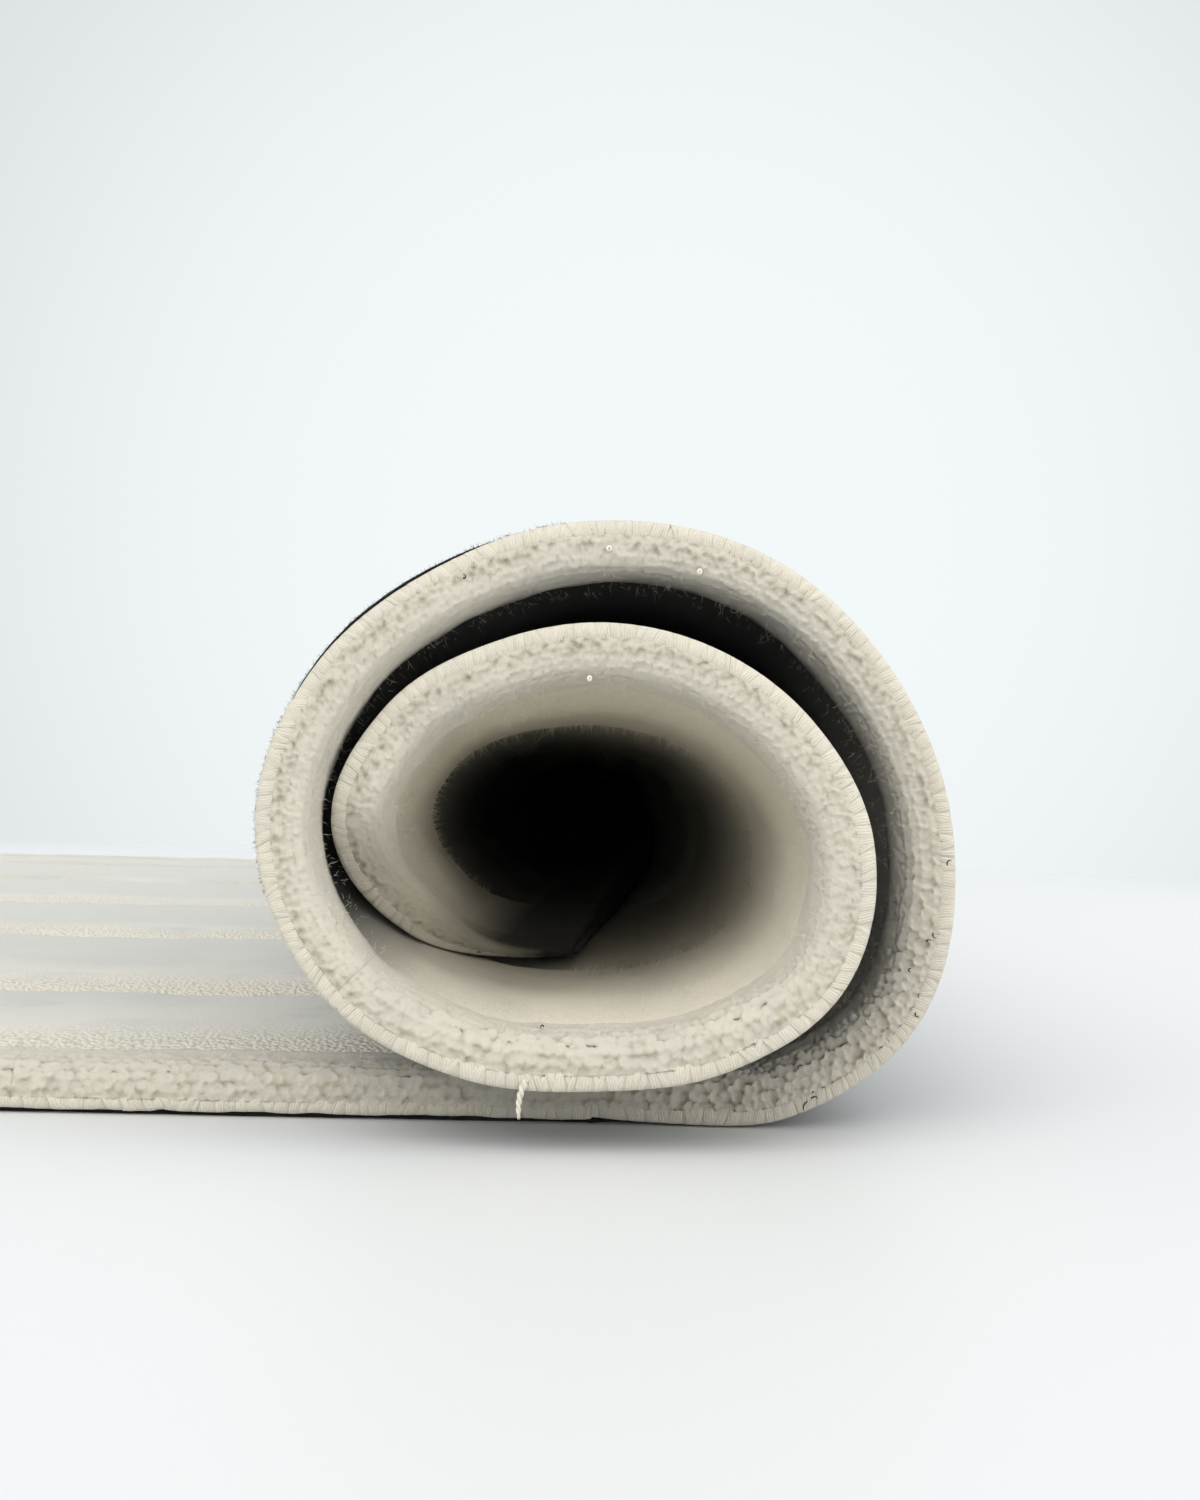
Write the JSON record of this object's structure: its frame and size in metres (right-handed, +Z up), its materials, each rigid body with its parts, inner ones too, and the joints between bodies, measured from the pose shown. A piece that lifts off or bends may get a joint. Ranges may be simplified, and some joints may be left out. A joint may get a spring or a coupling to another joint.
{
  "type": "rolled up carpet",
  "caption": "Thick cream tufted wool rug on dark felt, half rolled with its pile inward and the rest lying flat.",
  "frame": {"origin": "middle of the bounding box, on the floor under the rug", "axes": "+Z up from the floor, +Y along the roll from its open near end to its tight far end, +X from the flat end towards the roll"},
  "size_m": [0.772, 1.2438, 0.1601],
  "materials": {
    "wool_pile": "matt tufted wool pile, cream",
    "whipping_yarn": "matt plied wool yarn, cream",
    "felt": "matt needled felt, near black"
  },
  "bodies": {
    "root": {"wool_pile": "wool_pile", "felt_backing": "felt", "whipping_near_side": "whipping_yarn", "whipping_far_side": "whipping_yarn", "whipping_flat_end": "whipping_yarn", "whipping_inner_end": "whipping_yarn"}
  },
  "joints": []
}
